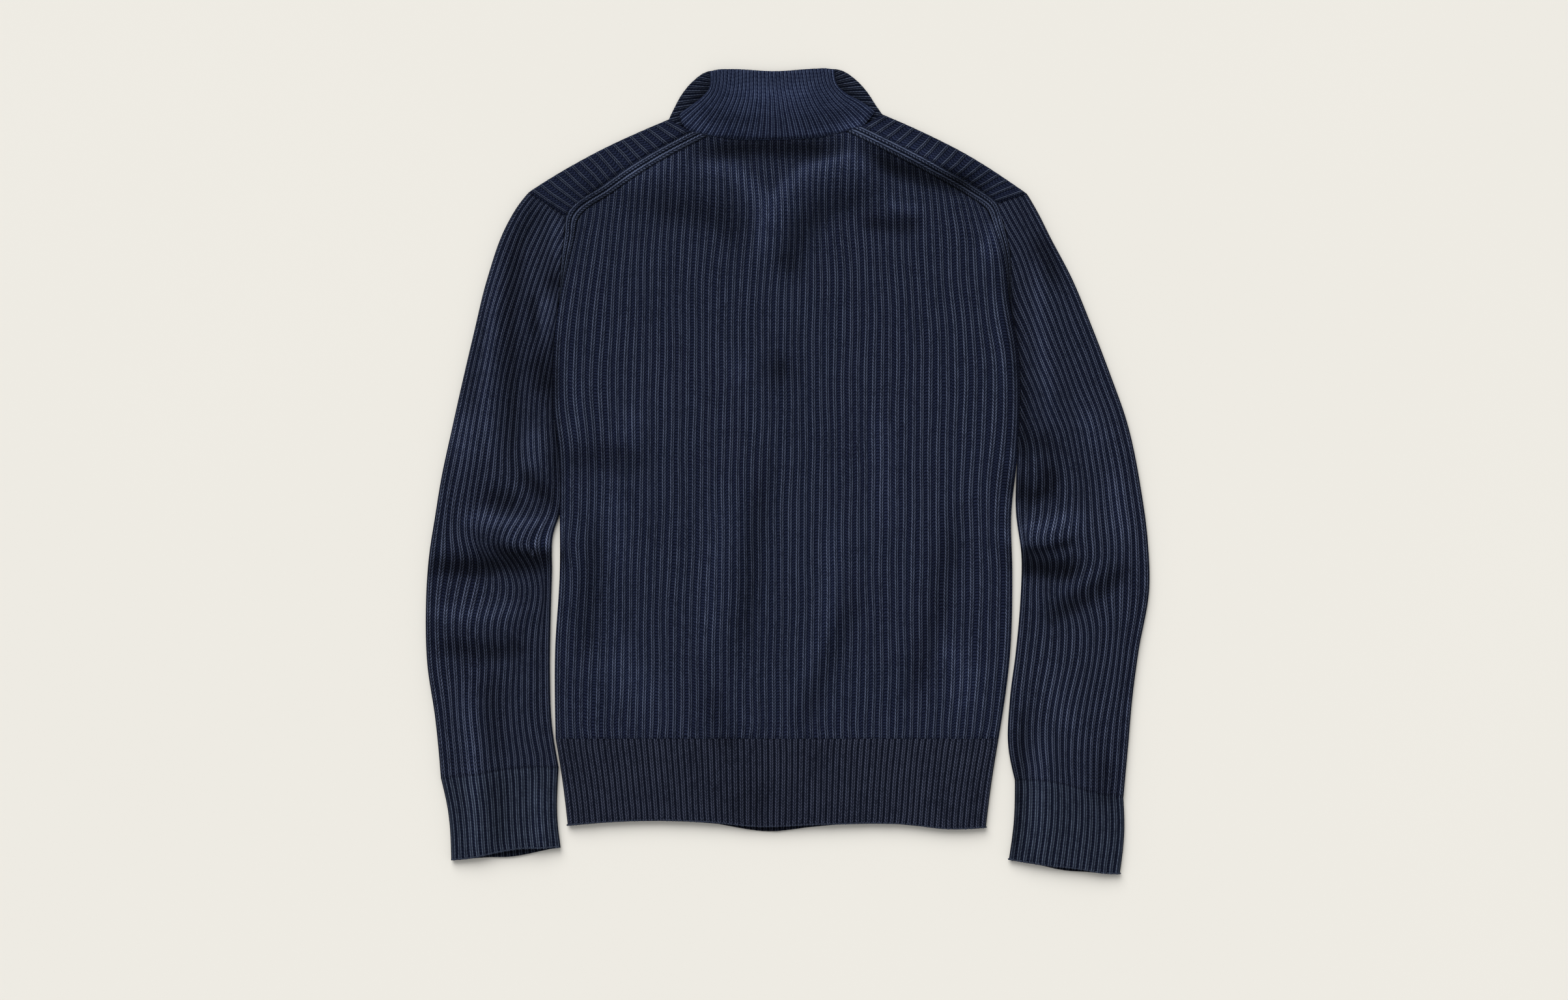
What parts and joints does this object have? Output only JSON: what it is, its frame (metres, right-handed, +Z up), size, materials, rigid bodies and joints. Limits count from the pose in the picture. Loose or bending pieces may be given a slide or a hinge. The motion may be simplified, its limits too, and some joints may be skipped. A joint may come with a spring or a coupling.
{
  "type": "quarter-zip sweater",
  "caption": "Rib-knit quarter-zip sweater laid flat on its front, with long sleeves, a stand collar, ribbed cuffs and a ribbed hem band.",
  "frame": {"origin": "centre of the bounding box in plan, on the surface that the sweater lies on", "axes": "+X across the back towards the sleeve at the right of the picture, +Y from the hem to the collar, +Z up, out of the sweater's back"},
  "size_m": [0.7096, 0.7912, 0.0109],
  "materials": {
    "wide_rib_knit": "washed navy wide rib knit, matt",
    "fine_rib_knit": "washed navy finer rib knit, matt, more faded on its crests",
    "zip_tape": "woven navy tape",
    "zip_metal": "dark metal, satin"
  },
  "bodies": {
    "garment": {"back_panel": "wide_rib_knit", "front_panel": "wide_rib_knit", "left_shoulder": "wide_rib_knit", "right_shoulder": "wide_rib_knit", "left_sleeve": "wide_rib_knit", "right_sleeve": "wide_rib_knit", "left_cuff": "fine_rib_knit", "right_cuff": "fine_rib_knit", "hem_band": "fine_rib_knit", "collar_back": "fine_rib_knit", "collar_front_left": "fine_rib_knit", "collar_front_right": "fine_rib_knit", "zip_tape_left": "zip_tape", "zip_tape_right": "zip_tape", "zip_chain": "zip_metal", "zip_bottom_stop": "zip_metal", "zip_slider": "zip_metal"},
    "zip_pull": {"zip_pull": "zip_metal"}
  },
  "joints": [
    {"name": "zip_pull_hinge", "type": "hinge", "parent": "garment", "child": "zip_pull", "pos_m": [-0.0095, 0.3095, 0.00125], "axis": [1, 0, 0], "range_deg": [0, 150]}
  ]
}
